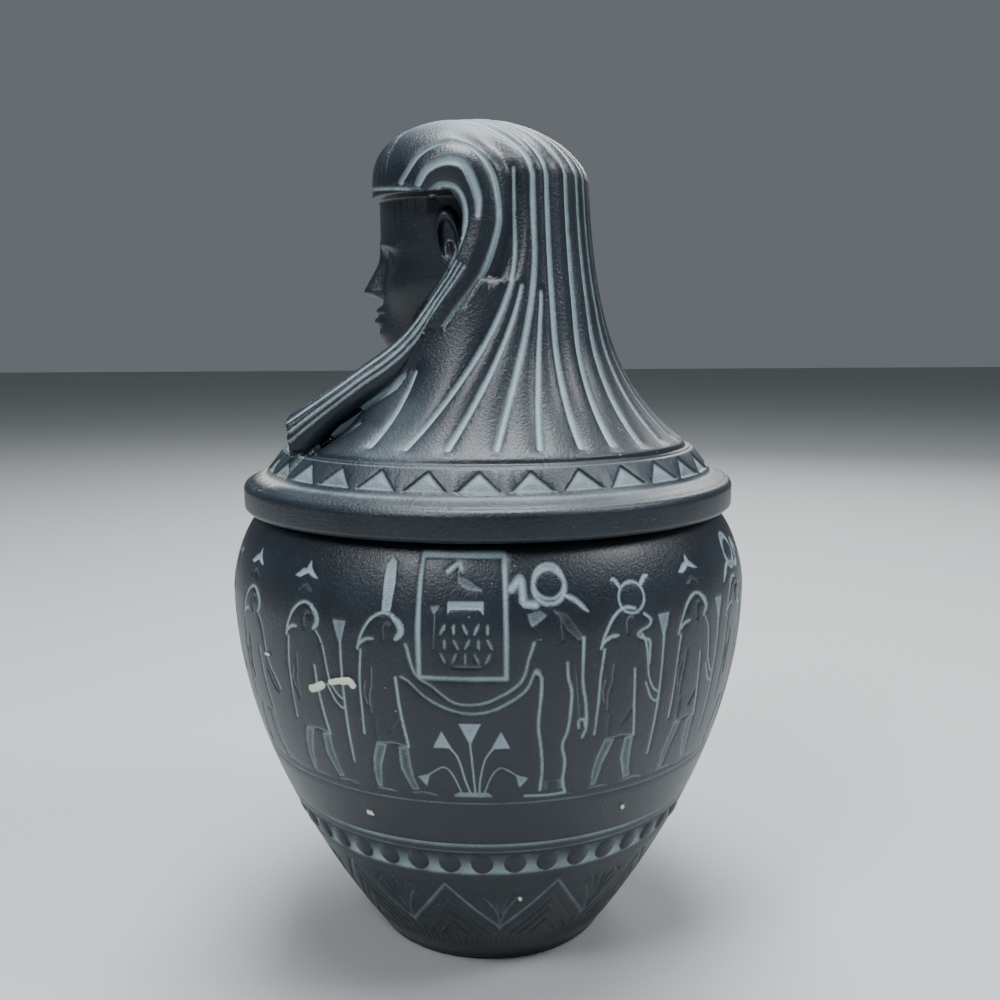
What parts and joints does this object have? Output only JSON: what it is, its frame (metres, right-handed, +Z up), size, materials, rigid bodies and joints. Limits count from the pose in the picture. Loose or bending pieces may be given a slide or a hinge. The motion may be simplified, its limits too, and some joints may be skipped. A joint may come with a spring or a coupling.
{
  "type": "canopic jar souvenir",
  "caption": "Round-shouldered hollow jar in dark cast resin with a lift-off lid whose knob is a human head in a long striated wig",
  "frame": {"origin": "the middle of the jar's flat foot, on the surface it stands on", "axes": "+Z up along the jar's axis, the head faces -Y, X is across the head"},
  "size_m": [0.0946, 0.0946, 0.15],
  "materials": {
    "jar_resin": "satin blue-black cast resin with a pale chalky wash in the relief",
    "lid_resin": "satin blue-black cast resin with a pale chalky wash in the hair grooves"
  },
  "bodies": {
    "root": {"jar": "jar_resin", "lid": "lid_resin"}
  },
  "joints": []
}
